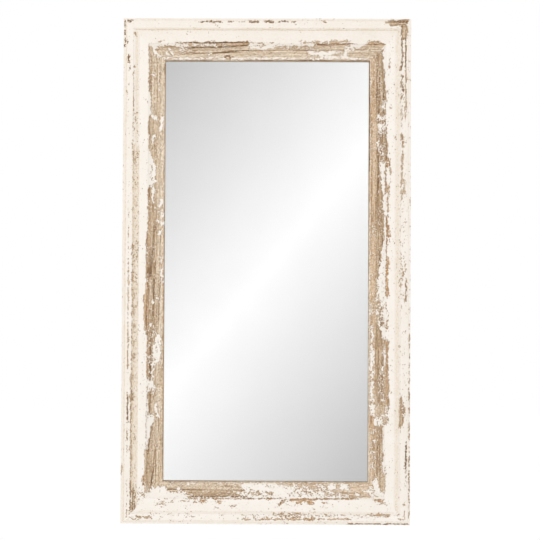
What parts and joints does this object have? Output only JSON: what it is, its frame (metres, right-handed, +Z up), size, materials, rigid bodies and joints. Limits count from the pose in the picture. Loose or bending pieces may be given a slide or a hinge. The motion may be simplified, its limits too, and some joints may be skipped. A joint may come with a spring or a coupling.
{
  "type": "full-length mirror",
  "caption": "Tall wall mirror: plain glass in a wide mitred wooden moulding with worn antique-white paint, a screwed-on back and swinging hanger rings.",
  "frame": {"origin": "bottom centre of the whole mirror: on the floor line, midway across the width and midway through the depth", "axes": "+Z up, +X to the right of someone who looks into the glass, -Y the way the glass faces, +Y towards the wall"},
  "size_m": [0.81, 0.047, 1.42],
  "materials": {
    "painted_wood": "chalky antique-white paint, worn through to brown wood",
    "glass": "plain float glass",
    "silvering": "silvered, painted behind",
    "board": "bare fibreboard",
    "packer": "matt",
    "nail_steel": "plain strip",
    "zinc_plate": "zinc plated",
    "ring_wire": "zinc plated wire",
    "screw_zinc": "yellow zinc plated",
    "felt": "pressed felt"
  },
  "bodies": {
    "frame": {"top_rail": "painted_wood", "bottom_rail": "painted_wood", "left_stile": "painted_wood", "right_stile": "painted_wood", "mirror_glass": "glass", "silver_coating": "silvering", "backing_board": "board", "glass_packers": "packer", "corner_v_nails": "nail_steel", "backing_clips": "zinc_plate", "corner_plate_top_left": "zinc_plate", "corner_plate_top_right": "zinc_plate", "corner_plate_bottom_left": "zinc_plate", "corner_plate_bottom_right": "zinc_plate", "left_hanger_strap": "zinc_plate", "right_hanger_strap": "zinc_plate", "clip_screws": "screw_zinc", "corner_plate_screws": "screw_zinc", "hanger_screws": "screw_zinc", "wall_bumper_top_left": "felt", "wall_bumper_top_right": "felt", "wall_bumper_bottom_left": "felt", "wall_bumper_bottom_right": "felt"},
    "left_ring": {"left_hanger_ring": "ring_wire"},
    "right_ring": {"right_hanger_ring": "ring_wire"}
  },
  "joints": [
    {"name": "left_ring_swing", "type": "hinge", "parent": "frame", "child": "left_ring", "pos_m": [-0.353, 0.0198, 1.15], "axis": [1, 0, 0], "range_deg": [0, 180]},
    {"name": "right_ring_swing", "type": "hinge", "parent": "frame", "child": "right_ring", "pos_m": [0.353, 0.0198, 1.15], "axis": [1, 0, 0], "range_deg": [0, 180]}
  ]
}
